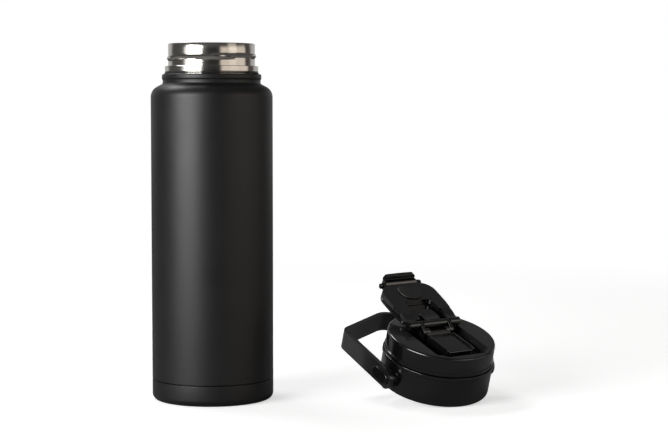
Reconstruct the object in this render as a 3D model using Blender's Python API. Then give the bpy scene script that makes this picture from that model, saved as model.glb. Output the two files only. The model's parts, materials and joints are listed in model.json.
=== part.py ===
"""A wide-mouth vacuum growler with its flip-cover drinking lid unscrewed and set down beside it.

Sizes are in millimetres and become metres when a mesh is made. The world origin is the centre of
the bottle's foot, +Z is up, +X runs towards the lid and +Y runs back. Lid pieces are modelled in
the lid's own frame: its origin is the centre of the skirt's open rim, +Z is the screw axis, -Y is
the drinking side and +X its right. The cover is modelled flat along its own slope, from its pin.
"""

import math

import bmesh
import bpy
from mathutils import Vector

MM = 0.001
GAP = 0.3                      # clearance kept between pieces that touch

# Bottle
BODY_R = 45.6
BOTTLE_H = 266.9
WALL = 0.8
SEAM_Z = 16.0                  # joint between the shell and the base cup
FOOT_EDGE_R = 5.0
SHOULDER_Z = 232.6             # where the shoulder's slope would meet the body wall
SHOULDER_R = 8.7
BEAD_R = 37.2                  # rolled bead at the top of the painted neck
BEAD_TOP_Z = 244.4
BEAD_LOW_Z = 240.9
WAIST_R = 36.6
WAIST_Z = 237.2
LINER_R = 42.4
LINER_FLOOR_Z = 13.0
LINER_NECK_R = 31.3
COLLAR_R = 34.9
COLLAR_LOW_Z = 246.0
COLLAR_TOP_Z = 250.2
NECK_R = 32.4
NECK_BORE_R = 31.7
THREAD_DEPTH = 1.0
THREAD_PITCH = 3.6
THREAD_TURNS = 1.1
THREAD_HALF = 1.5
NECK_THREAD_Z = 255.2          # where the neck's thread starts, at the back
INSERT_THREAD_Z = 4.8          # the same in the lid's insert

# Lid skirt, cap and what they hold
SKIRT_R = 41.4
SKIRT_LIP_R = 42.1
SKIRT_BORE_R = 38.2
SKIRT_H = 24.0
SKIRT_EDGE_R = 2.0
FLANGE_BORE_R = 34.5
FLANGE_T = 2.6
INSERT_R = 37.9
INSERT_BORE_R = 33.8
CAP_LOW_Z = 24.7
CAP_TOP_Z = 39.3
CAP_R = 40.6
CAP_FLANGE_R = 41.3
CAP_EDGE_R = 1.6
CEILING_Z = 28.4
CHANNEL_HALF = 20.3            # recess in the cap that the mouthpiece folds into
CHANNEL_FRONT_Y = -34.5
CHANNEL_BACK_Y = 15.6
CHANNEL_FLOOR_Z = 30.6
SHELF_HALF = 23.2
SHELF_FRONT_Y = -30.0
SHELF_Z = 36.2
TUBE_Y = 4.5                   # the drinking tube's axis
TUBE_R = 5.5
TUBE_BORE_R = 3.6
VENT_Y = 25.0

# Hinges in the lid's frame: (y, z) of each axis, all of them along X
MOUTH_AXIS = (7.0, 39.5)
COVER_AXIS = (12.0, 43.5)
HANDLE_AXIS = (-3.0, 10.5)
PIN_R = 1.3
PIN_HOLE_R = PIN_R + GAP
EAR_IN, EAR_OUT = 10.8, 13.4

# Mouthpiece
MOUTH_HALF = 10.4
MOUTH_TIP_Y = -26.5
MOUTH_LOW_Z = 33.5
MOUTH_RIM = 1.7
MOUTH_RIM_OUT = 11.9           # the rims stand outside the ears
MOUTH_TOP_Z = 38.9
MOUTH_RIM_Z = 40.1

# Flip cover: (x, s, n), s along its slope away from the pin and n square to it
COVER_SLOPE = 11.0             # degrees, when it rests open
ARM_IN, ARM_OUT = 14.0, 22.4
COVER_HALF = 23.4
COVER_END_S = 48.5
COVER_FACE_N = 2.9
ARM_LOW_N = -0.6
ARM_BEND_S = 14.0              # nearer the pin than this the arms bend down to it
HEAD_LOW_N = -1.6
SHELL_LOW_N = -5.0
WINDOW_HALF = 11.2
WINDOW_S = 26.5
SHELL_S = 8.0                  # where the outer shell begins, clear of the hinge
TAB_HALF = 6.8
TAB_S = 15.6
TAB_TOP_N = 2.3
BARREL_R = 2.9
SEAL_S = 37.6
SEAL_R = 9.7
SEAL_TOP_N = 4.2
LATCH_AXIS = (51.2, 0.6)       # (s, n)
LATCH_HALF = 14.0
LATCH_HUB_R = 2.2
LATCH_LIP_LOW = 4.1            # the lip's height above the latch's axis
LATCH_TOP = 7.0
LATCH_PIN_R = 1.2

# Handle strap
STRAP_X = 45.9
STRAP_T = 3.2
STRAP_W = 14.6
STRAP_CORNER = (46.0, 64.5)    # (x, distance from the pivots)
STRAP_APEX_Y = 83.0
HANDLE_LIFT = 3.0              # degrees above the lid's own level, as it lies
EYE_R = 7.5
PIVOT_R = 2.4

# How the lid lies: it has tipped forward onto its lip and its drinking tube
LID_X, LID_Y = 166.4, -7.1
LID_YAW, LID_TIP, LID_ROLL = 32.0, 18.5, -2.0
FLOOR_GAP = 0.2

ROUND = 48
ROUND_INNER = 32
ROUND_SMALL = 16

COLOURS = {
    "black_coat": ((0.022, 0.022, 0.024), 0.46, 0.0),
    "black_plastic": ((0.016, 0.016, 0.017), 0.24, 0.0),
    "steel": ((0.62, 0.60, 0.57), 0.28, 1.0),
    "silicone": ((0.012, 0.012, 0.012), 0.60, 0.0),
    "clear_plastic": ((0.55, 0.56, 0.57), 0.35, 0.0),
}


# ---------------------------------------------------------------- helpers

def clear_scene():
    for thing in list(bpy.data.objects):
        bpy.data.objects.remove(thing, do_unlink=True)


def material(key):
    if key in bpy.data.materials:
        return bpy.data.materials[key]
    colour, roughness, metallic = COLOURS[key]
    made = bpy.data.materials.new(key)
    made.use_nodes = True
    shader = made.node_tree.nodes["Principled BSDF"]
    shader.inputs["Base Color"].default_value = (*colour, 1.0)
    shader.inputs["Roughness"].default_value = roughness
    shader.inputs["Metallic"].default_value = metallic
    return made


def empty(name, parent, place, turn=(0.0, 0.0, 0.0)):
    """A frame at a place in millimetres, turned in degrees about its Y, then X, then Z."""
    frame = bpy.data.objects.new(name, None)
    bpy.context.scene.collection.objects.link(frame)
    frame.parent = parent
    frame.location = Vector(place) * MM
    frame.rotation_mode = "YXZ"
    frame.rotation_euler = [math.radians(a) for a in turn]
    return frame


def mesh_object(name, made, key, parent):
    """Links a bmesh whose points are in millimetres as an object in metres, facing out."""
    bmesh.ops.scale(made, vec=(MM, MM, MM), verts=made.verts)
    bmesh.ops.recalc_face_normals(made, faces=made.faces)
    mesh = bpy.data.meshes.new(name)
    made.to_mesh(mesh)
    made.free()
    mesh.shade_smooth()
    mesh.set_sharp_from_angle(angle=math.radians(35))
    thing = bpy.data.objects.new(name, mesh)
    mesh.materials.append(material(key))
    bpy.context.scene.collection.objects.link(thing)
    thing.parent = parent
    return thing


def rounded(corners, step=30):
    """A closed outline from (a, b, radius) corners, each radius turned into an arc."""
    points = []
    count = len(corners)
    for i, (a, b, radius) in enumerate(corners):
        here = Vector((a, b))
        if radius <= 0:
            points.append((a, b))
            continue
        back = (Vector(corners[i - 1][:2]) - here).normalized()
        ahead = (Vector(corners[(i + 1) % count][:2]) - here).normalized()
        half = back.angle(ahead) / 2
        centre = here + (back + ahead).normalized() * (radius / math.sin(half))
        start = here + back * (radius / math.tan(half)) - centre
        end = here + ahead * (radius / math.tan(half)) - centre
        sweep = start.angle_signed(end)
        pieces = max(2 if radius > 0.8 else 1, round(abs(math.degrees(sweep)) / step))
        for k in range(pieces + 1):
            turn = -sweep * k / pieces
            cos, sin = math.cos(turn), math.sin(turn)
            spoke = Vector((start.x * cos - start.y * sin, start.x * sin + start.y * cos))
            points.append(tuple(centre + spoke))
    return points


def arc(centre, radius, first, last, pieces):
    """Points along an arc, from one angle to another in degrees."""
    found = []
    for k in range(pieces + 1):
        angle = math.radians(first + (last - first) * k / pieces)
        found.append((centre[0] + radius * math.cos(angle), centre[1] + radius * math.sin(angle)))
    return found


def lathe(name, profile, key, parent=None, around=ROUND, swell=None):
    """Turns a closed (radius, height) profile about Z. swell(angle, r, z) gives a new radius."""
    made = bmesh.new()
    rings = []
    for r, z in profile:
        if r < 1e-6:
            rings.append([made.verts.new((0, 0, z))])
            continue
        ring = []
        for k in range(around):
            angle = 2 * math.pi * k / around
            radius = swell(angle, r, z) if swell else r
            ring.append(made.verts.new((radius * math.cos(angle), radius * math.sin(angle), z)))
        rings.append(ring)
    for one, two in zip(rings, rings[1:] + rings[:1]):
        if len(one) == 1 and len(two) == 1:
            continue
        for k in range(around):
            after = (k + 1) % around
            corners = [one[k % len(one)], one[after % len(one)]]
            corners += [two[after % len(two)], two[k % len(two)]]
            made.faces.new(list(dict.fromkeys(corners)))
    return mesh_object(name, made, key, parent)


def prism(name, outline, low, high, key, parent, along="z"):
    """A closed outline made solid from low to high along one axis, drawn on the other two."""
    def place(a, b, c):
        return {"x": (c, a, b), "y": (a, c, b), "z": (a, b, c)}[along]

    made = bmesh.new()
    ends = [[made.verts.new(place(a, b, c)) for a, b in outline] for c in (low, high)]
    made.faces.new(ends[0])
    made.faces.new(ends[1])
    for k in range(len(outline)):
        after = (k + 1) % len(outline)
        made.faces.new((ends[0][k], ends[0][after], ends[1][after], ends[1][k]))
    return mesh_object(name, made, key, parent)


def block(name, x, y, z, key, parent):
    """A box between the two values given on each axis."""
    outline = [(x[0], y[0]), (x[1], y[0]), (x[1], y[1]), (x[0], y[1])]
    return prism(name, outline, z[0], z[1], key, parent)


def rod(name, centre, radius, low, high, key, parent, along="x", around=ROUND_SMALL):
    """A round bar along x at (y, z), or along z at (x, y)."""
    outline = arc(centre, radius, 0, 360 * (around - 1) / around, around - 1)
    return prism(name, outline, low, high, key, parent, along)


def stadium(centre, length, width):
    """A long round-ended outline, its length along the first axis."""
    a, b = centre
    shift = (length - width) / 2
    right = arc((a + shift, b), width / 2, -90, 90, 8)
    left = arc((a - shift, b), width / 2, 90, 270, 8)
    return right + left


def combine(thing, other, operation):
    """Adds or takes away a helper solid, which then stays hidden."""
    change = thing.modifiers.new(other.name, "BOOLEAN")
    change.operation = operation
    change.object = other
    change.solver = "EXACT"
    other.hide_render = True
    other.display_type = "WIRE"
    return thing


def cut(thing, other):
    return combine(thing, other, "DIFFERENCE")


def add(thing, other):
    return combine(thing, other, "UNION")


def soften(thing, width, segments=2):
    """Breaks the sharp edges of a moulded piece."""
    bevel = thing.modifiers.new("edges", "BEVEL")
    bevel.width = width * MM
    bevel.segments = segments
    bevel.limit_method = "ANGLE"
    bevel.angle_limit = math.radians(50)
    return thing


def both_sides(values):
    """A span on the right and its mirror image on the left, with a name for each."""
    low, high = values
    return (("right", low, high), ("left", -high, -low))


def thread(start_z, turns, sign):
    """A right-hand ridge of THREAD_DEPTH, faded at its ends; sign -1 makes it stand inwards."""
    def swell(angle, r, z):
        best = 0.0
        for lap in range(int(turns) + 1):
            turn = (angle / (2 * math.pi) + 0.75) % 1.0 + lap
            if turn > turns:
                continue
            fade = min(1.0, 8 * min(turn, turns - turn))
            off = abs(z - (start_z + THREAD_PITCH * turn)) / THREAD_HALF
            best = max(best, fade * max(0.0, 1.0 - off ** 2))
        return r + sign * THREAD_DEPTH * best
    return swell


# ---------------------------------------------------------------- bottle

def bottle():
    shell = rounded([
        (BEAD_R, BEAD_TOP_Z, 1.3), (BEAD_R, BEAD_LOW_Z, 0.9), (WAIST_R, BEAD_LOW_Z - 0.9, 0.5),
        (WAIST_R, WAIST_Z, 1.6), (BODY_R, SHOULDER_Z, SHOULDER_R), (BODY_R, SEAM_Z + GAP, 0),
        (BODY_R - WALL, SEAM_Z + GAP, 0), (BODY_R - WALL, SHOULDER_Z - 1, SHOULDER_R),
        (WAIST_R - WALL, WAIST_Z - 1, 1.6), (WAIST_R - WALL, BEAD_TOP_Z, 0),
    ])
    lathe("bottle_shell", shell, "black_coat")
    base = rounded([
        (BODY_R, SEAM_Z - GAP, 0.6), (BODY_R, 0, FOOT_EDGE_R), (0, 0, 0),
        (0, 3.0, 0), (BODY_R - 2.0, 3.0, 3.5), (BODY_R - 2.0, SEAM_Z - GAP, 0),
    ])
    lathe("base_cup", base, "black_coat")
    flange, step = BODY_R - WALL - GAP, BODY_R - 2.4
    end_plate = [(flange, 20.0), (flange, 16.5), (step, 15.8), (step, 9.5), (12, 8.0), (0, 8.0),
                 (0, 8.8), (12, 8.8), (step - WALL, 10.3), (step - WALL, 16.4),
                 (flange - WALL, 17.0), (flange - WALL, 20.0)]
    lathe("outer_end_plate", end_plate, "steel", around=ROUND_INNER)
    lathe("vacuum_getter", [(6, 12.4), (6, 9.2), (0, 9.2), (0, 12.4)], "steel", around=ROUND_SMALL)
    liner_low = LINER_FLOOR_Z
    liner = rounded([
        (LINER_NECK_R, BOTTLE_H - 1.0, 0), (LINER_NECK_R, 236.0, 0), (LINER_R, 229.0, 6.0),
        (LINER_R, liner_low, 9.0), (0, liner_low, 0), (0, liner_low + WALL, 0),
        (LINER_R - WALL, liner_low + WALL, 8.2), (LINER_R - WALL, 228.6, 5.2),
        (LINER_NECK_R - WALL, 235.6, 0), (LINER_NECK_R - WALL, BOTTLE_H - 1.0, 0),
    ])
    lathe("inner_liner", liner, "steel", around=ROUND_INNER)
    threaded_neck()
    gasket = rounded([(WAIST_R - 1.3, 245.7, 0.5), (WAIST_R - 1.3, BEAD_TOP_Z + GAP, 0.5),
                      (NECK_R + 0.4, BEAD_TOP_Z + GAP, 0), (NECK_R + 0.4, 245.7, 0)])
    lathe("neck_gasket", gasket, "silicone")


def threaded_neck():
    """The steel neck that the lid screws onto, with its collar and its helical thread."""
    rows = 9
    low = NECK_THREAD_Z - THREAD_HALF - 0.4
    top = NECK_THREAD_Z + THREAD_PITCH * THREAD_TURNS + THREAD_HALF + 0.4
    wall = [(NECK_R, top - (top - low) * k / rows) for k in range(rows + 1)]
    lip = [(NECK_R - 0.3, BOTTLE_H), (NECK_R, BOTTLE_H - 0.5)]
    collar = [(COLLAR_R - 0.3, COLLAR_TOP_Z), (COLLAR_R, COLLAR_TOP_Z - 0.3),
              (COLLAR_R, COLLAR_LOW_Z + 0.3), (COLLAR_R - 0.3, COLLAR_LOW_Z)]
    root = [(NECK_R, COLLAR_LOW_Z), (NECK_R, 238.5), (NECK_BORE_R, 238.5),
            (NECK_BORE_R, BOTTLE_H)]
    profile = lip + wall + [(NECK_R, COLLAR_TOP_Z)] + collar + root
    swell = thread(NECK_THREAD_Z, THREAD_TURNS, 1.0)

    def outside_only(angle, r, z):
        return swell(angle, r, z) if abs(r - NECK_R) < 0.01 and low < z < top else r

    lathe("threaded_neck", profile, "steel", swell=outside_only)


# ---------------------------------------------------------------- lid body

def lid_frame():
    """Stands the lid on its skirt's front edge, just clear of the floor."""
    tip = math.acos(math.cos(math.radians(LID_TIP)) * math.cos(math.radians(LID_ROLL)))
    edge = SKIRT_R - SKIRT_EDGE_R
    height = edge * math.sin(tip) - SKIRT_EDGE_R * math.cos(tip) + SKIRT_EDGE_R + FLOOR_GAP
    return empty("lid_frame", None, (LID_X, LID_Y, height), (LID_TIP, LID_ROLL, LID_YAW)), height


def tube_reach(height):
    """How far the drinking tube stands out below the skirt, so that it too meets the floor."""
    rise = TUBE_Y * math.sin(math.radians(LID_TIP))
    upright = math.cos(math.radians(LID_TIP)) * math.cos(math.radians(LID_ROLL))
    dip = TUBE_R * math.sin(math.acos(upright))
    return (height + rise - dip - FLOOR_GAP) / upright


def skirt(lid):
    profile = rounded([
        (SKIRT_LIP_R, SKIRT_H, 0.4), (SKIRT_LIP_R, SKIRT_H - 2.2, 0), (SKIRT_R, SKIRT_H - 3, 0),
        (SKIRT_R, 0, SKIRT_EDGE_R), (SKIRT_BORE_R, 0, 0.6), (SKIRT_BORE_R, SKIRT_H - FLANGE_T, 0),
        (FLANGE_BORE_R, SKIRT_H - FLANGE_T, 0), (FLANGE_BORE_R, SKIRT_H, 0),
    ])
    made = lathe("lid_skirt", profile, "black_plastic", lid)
    for side, low, high in both_sides((40.2, STRAP_X - STRAP_T / 2 - 0.4)):
        add(made, rod("lug_" + side, HANDLE_AXIS, 6.3, low, high, "black_plastic", lid))
    for side, low, high in both_sides((39.6, 45.0)):
        cut(made, rod("lug_hole_" + side, HANDLE_AXIS, PIVOT_R + GAP, low, high, "steel", lid))
    for side, low, high in both_sides((40.0, 46.0)):
        rod("handle_pivot_pin_" + side, HANDLE_AXIS, PIVOT_R, low, high, "steel", lid)


def inside_the_skirt(lid, height):
    rows = 9
    low, high = 2.0, 15.0
    bore = [(INSERT_BORE_R, low + (high - low) * k / rows) for k in range(rows + 1)]
    profile = [(INSERT_R, 1.0)] + [(INSERT_BORE_R + 0.8, 1.0)] + bore
    profile += [(INSERT_BORE_R, SKIRT_H - FLANGE_T - GAP), (INSERT_R, SKIRT_H - FLANGE_T - GAP)]
    swell = thread(INSERT_THREAD_Z, THREAD_TURNS, -1.0)

    def bore_only(angle, r, z):
        return swell(angle, r, z) if abs(r - INSERT_BORE_R) < 0.01 and z < high + 0.1 else r

    lathe("thread_insert", profile, "black_plastic", lid, ROUND_INNER, bore_only)
    plug = lathe("plug_disc", [(FLANGE_BORE_R - GAP, SKIRT_H), (FLANGE_BORE_R - GAP, 21.8),
                               (INSERT_BORE_R - 0.6, 21.2), (INSERT_BORE_R - 0.6, 19.6),
                               (27.0, 19.6), (27.0, 17.6), (0, 17.6), (0, SKIRT_H)],
                 "black_plastic", lid, ROUND_INNER)
    cut(plug, rod("tube_hole", (0, TUBE_Y), TUBE_R + GAP, 10, 30, "steel", lid, "z"))
    ring = rounded([(33.3, 19.3, 0.7), (33.3, 17.4, 0.7), (28.0, 17.4, 0.7), (28.0, 19.3, 0.7)])
    lathe("neck_seal", ring, "silicone", lid, ROUND_INNER)
    tube_frame = empty("tube_frame", lid, (0, TUBE_Y, 0))
    reach = tube_reach(height)
    tube = [(TUBE_R, -reach), (TUBE_BORE_R, -reach), (TUBE_BORE_R, 26.0), (8.0, 26.0),
            (8.0, SKIRT_H + GAP), (TUBE_R, SKIRT_H + GAP)]
    lathe("drinking_tube", tube, "clear_plastic", tube_frame, ROUND_SMALL)
    seat = [(4.4, 33.1), (4.4, 26.3), (2.6, 26.3), (2.6, 33.1)]
    lathe("mouthpiece_seat", seat, "silicone", tube_frame, ROUND_SMALL)
    vent_frame = empty("vent_frame", lid, (0, VENT_Y, 0))
    valve = [(0, 28.1), (4.0, 28.1), (4.0, 27.2), (1.2, 25.2), (0, 25.2)]
    lathe("vent_valve", valve, "silicone", vent_frame, ROUND_SMALL)


def cap(lid):
    profile = rounded([
        (0, CAP_TOP_Z, 0), (CAP_R, CAP_TOP_Z, CAP_EDGE_R), (CAP_R, CAP_LOW_Z + 2.6, 0),
        (CAP_FLANGE_R, CAP_LOW_Z + 2.0, 0), (CAP_FLANGE_R, CAP_LOW_Z, 0.3),
        (SKIRT_BORE_R, CAP_LOW_Z, 0), (SKIRT_BORE_R, CEILING_Z, 0), (0, CEILING_Z, 0),
    ])
    made = lathe("lid_cap", profile, "black_plastic", lid)
    channel = rounded([(CHANNEL_HALF, CHANNEL_FRONT_Y, 7), (CHANNEL_HALF, CHANNEL_BACK_Y, 2),
                       (-CHANNEL_HALF, CHANNEL_BACK_Y, 2), (-CHANNEL_HALF, CHANNEL_FRONT_Y, 7)])
    cut(made, prism("channel", channel, CHANNEL_FLOOR_Z, 50, "steel", lid))
    shelf = rounded([(SHELF_HALF, SHELF_FRONT_Y, 2.5), (SHELF_HALF, CHANNEL_BACK_Y, 2),
                     (-SHELF_HALF, CHANNEL_BACK_Y, 2), (-SHELF_HALF, SHELF_FRONT_Y, 2.5)])
    cut(made, prism("shelf", shelf, SHELF_Z, 50, "steel", lid))
    cut(made, rod("seat_hole", (0, TUBE_Y), 4.7, 20, 33, "steel", lid, "z"))
    cut(made, rod("vent_hole", (0, VENT_Y), 1.5, 20, 50, "steel", lid, "z", 12))


def hinge_bracket(lid):
    """Two ears in the cap's recess that hold the mouthpiece's pin and the cover's pins."""
    made = block("hinge_bracket", (-EAR_OUT, EAR_OUT), (9.3, 13.2),
                 (CHANNEL_FLOOR_Z + GAP, 32.9), "black_plastic", lid)
    outline = [(2.5, CHANNEL_FLOOR_Z + GAP), (13.2, CHANNEL_FLOOR_Z + GAP)]
    outline += arc(COVER_AXIS, 3.1, -15, 125, 8)
    outline += arc(MOUTH_AXIS, 3.4, 140, 190, 4)
    for side, low, high in both_sides((EAR_IN, EAR_OUT)):
        add(made, prism("ear_" + side, outline, low, high, "black_plastic", lid, "x"))
    for name, axis in (("cover", COVER_AXIS), ("mouth", MOUTH_AXIS)):
        for side, low, high in both_sides((EAR_IN - 1, EAR_OUT + 1)):
            hole = rod("ear_hole_" + name + "_" + side, axis, PIN_HOLE_R, low, high, "steel", lid)
            cut(made, hole)
    rod("mouthpiece_pin", MOUTH_AXIS, PIN_R, -EAR_OUT + 0.2, EAR_OUT - 0.2, "steel", lid)
    for side, low, high in both_sides((5.0, ARM_OUT + 0.2)):
        rod("cover_pin_" + side, COVER_AXIS, PIN_R, low, high, "steel", lid)


# ---------------------------------------------------------------- moving pieces

def mouthpiece(lid):
    """The spout, lying in the recess; its bore stands over the seat once it is flipped up."""
    frame = empty("mouthpiece_axis", lid, (0, *MOUTH_AXIS))
    y0, z0 = MOUTH_AXIS
    heel = z0 - MOUTH_LOW_Z
    tip, low = MOUTH_TIP_Y - y0, MOUTH_LOW_Z - z0
    top, rim_top = MOUTH_TOP_Z - z0, MOUTH_RIM_Z - z0
    outline = rounded([(tip, low, 1.5), (tip, top, 1.0), (-4.2, top, 0), (-3.0, 0.6, 0)])
    outline += arc((0, 0), 3.1, 165, 0, 8) + [(3.1, -0.5)] + arc((0, 0), heel, -5, -90, 6)
    outline.reverse()
    made = prism("mouthpiece", outline, -MOUTH_HALF, MOUTH_HALF, "black_plastic", frame, "x")
    side_view = rounded([(tip + 0.5, low + 0.8, 1.0), (tip + 0.5, rim_top, 1.2),
                         (-5.6, rim_top, 1.0), (-5.6, low + 0.8, 0.8)])
    for side, inner, outer in both_sides((MOUTH_RIM_OUT - MOUTH_RIM, MOUTH_RIM_OUT)):
        add(made, prism("rim_" + side, side_view, inner, outer, "black_plastic", frame, "x"))
    cut(made, block("bore", (-4, 4), (tip - 1, heel + 1), (low + 1.6, low + 4.0), "steel", frame))
    cut(made, block("saddle", (-7.4, 7.4), (-4.5, 4.0), (1.3, 5.0), "steel", frame))
    cut(made, rod("mouth_hole", (0, 0), PIN_HOLE_R, -12, 12, "steel", frame))


def cover(lid):
    frame = empty("cover_axis", lid, (0, *COVER_AXIS), (COVER_SLOPE, 0, 0))
    fork = rounded([
        (13.0, ARM_BEND_S, 0), (ARM_OUT + 0.3, ARM_BEND_S, 0), (COVER_HALF, 22, 5),
        (COVER_HALF, COVER_END_S, 12), (-COVER_HALF, COVER_END_S, 12), (-COVER_HALF, 22, 5),
        (-ARM_OUT - 0.3, ARM_BEND_S, 0), (-13.0, ARM_BEND_S, 0), (-WINDOW_HALF, WINDOW_S, 3),
        (WINDOW_HALF, WINDOW_S, 3),
    ])
    made = prism("cover_frame", fork, ARM_LOW_N, COVER_FACE_N, "black_plastic", frame)
    arm = [(ARM_BEND_S + 0.2, ARM_LOW_N + 0.1), (ARM_BEND_S + 0.2, COVER_FACE_N - 0.1)]
    arm += [(9.0, COVER_FACE_N - 0.5), (5.0, 1.4)] + arc((0, 0), 2.6, 90, 250, 8)
    arm += [(5.0, -2.2), (9.0, ARM_LOW_N - 0.6)]
    for side, low, high in both_sides((ARM_IN + 0.1, ARM_OUT)):
        add(made, prism("arm_" + side, arm, low, high, "black_plastic", frame, "x"))
    head = rounded([(COVER_HALF, WINDOW_S, 3), (COVER_HALF, COVER_END_S, 12),
                    (-COVER_HALF, COVER_END_S, 12), (-COVER_HALF, WINDOW_S, 3)])
    add(made, prism("head", head, HEAD_LOW_N, ARM_LOW_N + 1, "black_plastic", frame))
    s, n = LATCH_AXIS
    ear = [(s - 9.0, n + 0.9), (s - 9.0, n - 2.4)] + arc(LATCH_AXIS, 2.4, -90, 120, 8)
    ear += [(s - 3.5, n + 0.9)]
    for side, low, high in both_sides((ARM_IN - 0.1, ARM_OUT + 0.2)):
        add(made, rod("knuckle_" + side, (0, 0), 3.2, low, high, "black_plastic", frame))
    for side, low, high in both_sides((LATCH_HALF + 0.4, LATCH_HALF + 2.4)):
        add(made, prism("latch_ear_" + side, ear, low, high, "black_plastic", frame, "x"))
    for side, low, high in both_sides((ARM_IN - 1, ARM_OUT + 1)):
        cut(made, rod("arm_hole_" + side, (0, 0), PIN_HOLE_R, low, high, "steel", frame))
    cut(made, rod("latch_pin_hole", LATCH_AXIS, LATCH_PIN_R + GAP, -20, 20, "steel", frame))
    skin = rounded([(ARM_OUT, SHELL_S, 2), (COVER_HALF, 22, 5), (COVER_HALF, COVER_END_S, 12),
                    (-COVER_HALF, COVER_END_S, 12), (-COVER_HALF, 22, 5),
                    (-ARM_OUT, SHELL_S, 2)])
    soften(prism("cover_shell", skin, SHELL_LOW_N, HEAD_LOW_N - GAP, "black_plastic", frame), 1.0)
    seal_frame = empty("seal_frame", frame, (0, SEAL_S, 0))
    seal = rounded([(SEAL_R, SEAL_TOP_N, 0.7), (SEAL_R, COVER_FACE_N + GAP, 0),
                    (0, COVER_FACE_N + GAP, 0), (0, SEAL_TOP_N, 0)])
    lathe("cover_seal", seal, "silicone", seal_frame, 32)
    tab(frame)
    latch(frame)


def tab(cover_frame):
    """The round-ended tab in the cover's recess, on the hinge's middle barrel."""
    outline = rounded([(TAB_HALF, 0, 0), (TAB_HALF, TAB_S, TAB_HALF - 0.05),
                       (-TAB_HALF, TAB_S, TAB_HALF - 0.05), (-TAB_HALF, 0, 0)])
    key = "black_plastic"
    made = prism("cover_tab", outline, TAB_TOP_N - 1.6, TAB_TOP_N, key, cover_frame)
    add(made, rod("barrel", (0, 0), BARREL_R, -10.3, 10.3, key, cover_frame))
    web = (HEAD_LOW_N, TAB_TOP_N - 1.5)
    add(made, block("web", (-5, 5), (SHELL_S + 0.5, 13.5), web, key, cover_frame))
    for side, low, high in both_sides((4.6, 11.0)):
        cut(made, rod("barrel_hole_" + side, (0, 0), PIN_HOLE_R, low, high, key, cover_frame))


def latch(cover_frame):
    """The clip at the cover's free end, whose lip drops over the cap's front when it is shut."""
    ends = LATCH_HALF + 2.7
    pin = rod("latch_pin", LATCH_AXIS, LATCH_PIN_R, -ends, ends, "steel", cover_frame)
    for side, low, high in both_sides((ends, ends + 1.6)):
        add(pin, rod("pin_head_" + side, LATCH_AXIS, 2.1, low - 0.1, high, "steel", cover_frame))
    frame = empty("latch_axis", cover_frame, (0, *LATCH_AXIS))
    lip_low, top = LATCH_LIP_LOW, LATCH_TOP
    hub = [(a, b, 0) for a, b in arc((0, 0), LATCH_HUB_R, 140, 300, 7)]
    profile = rounded(hub + [
        (4.7, -1.2, 1.2), (4.7, 2.0, 0.8), (5.6, lip_low, 0.6), (5.6, top + 0.6, 1.4),
        (1.9, top + 0.6, 1.4), (1.9, lip_low, 0.8), (3.3, lip_low - 0.3, 0.4), (3.3, 2.9, 0.4),
        (-0.4, 2.9, 0.9),
    ])
    made = prism("latch_clip", profile, -LATCH_HALF, LATCH_HALF, "black_plastic", frame, "x")
    half = LATCH_HALF + 1
    around = rounded([(half, -4, 0), (half, 1.6, 0.8), (LATCH_HALF - 1.6, top - 0.3, 2.0),
                      (0, top + 0.3, 9), (1.6 - LATCH_HALF, top - 0.3, 2.0), (-half, 1.6, 0.8),
                      (-half, -4, 0)])
    trim = prism("clip_outline", around, -5, 8, "steel", frame, "y")
    combine(made, trim, "INTERSECT")
    cut(made, rod("clip_hole", (0, 0), LATCH_PIN_R + GAP, -18, 18, "steel", frame))


def strap_outline():
    """The strap seen along the lid's axis: two arms and a gabled bar, STRAP_T thick."""
    x, y = STRAP_CORNER
    half = STRAP_T / 2
    lean = math.atan2(STRAP_APEX_Y - y, x)
    square = half * math.tan((math.pi / 2 - lean) / 2)
    peak = half / math.cos(lean)
    outer = [(STRAP_X + half, 0, 0), (x + half, y + square, 9), (0, STRAP_APEX_Y + peak, 12)]
    inner = [(STRAP_X - half, 0, 0), (x - half, y - square, 6), (0, STRAP_APEX_Y - peak, 9)]
    left_out = [(-a, b, r) for a, b, r in reversed(outer[:2])]
    left_in = [(-a, b, r) for a, b, r in inner[:2]]
    return rounded(outer + left_out + left_in + inner[::-1], 18)


def handle(lid):
    y0, z0 = HANDLE_AXIS
    frame = empty("handle_axis", lid, (0, y0, z0), (HANDLE_LIFT, 0, 0))
    made = prism("handle_strap", strap_outline(), -STRAP_W / 2, STRAP_W / 2, "black_plastic", frame)
    inside, outside = STRAP_X - STRAP_T / 2, STRAP_X + STRAP_T / 2
    for side, low, high in both_sides((inside, outside)):
        add(made, rod("eye_" + side, (0, 0), EYE_R, low, high, "black_plastic", frame))
    for side, low, high in both_sides((inside - 1, outside - 1.1)):
        cut(made, rod("eye_hole_" + side, (0, 0), PIVOT_R + GAP, low, high, "steel", frame))
    for side, low, high in both_sides((outside + GAP, outside + 1.5)):
        button = stadium((5.5, 0), 20.0, 9.0)
        key = "black_plastic"
        soften(prism("handle_pivot_cap_" + side, button, low, high, key, frame, "x"), 0.4)


def main():
    clear_scene()
    bottle()
    lid, height = lid_frame()
    skirt(lid)
    inside_the_skirt(lid, height)
    cap(lid)
    hinge_bracket(lid)
    mouthpiece(lid)
    cover(lid)
    handle(lid)


main()
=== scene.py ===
"""The finished look of the wide-mouth growler and the flip-cover lid that lies beside it.

Each solid of the frame is built again here from the same dimensions, with finer curves, softened
edges and its real finish, and rides on the body that holds the coarse one.
"""

import json
import math

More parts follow.
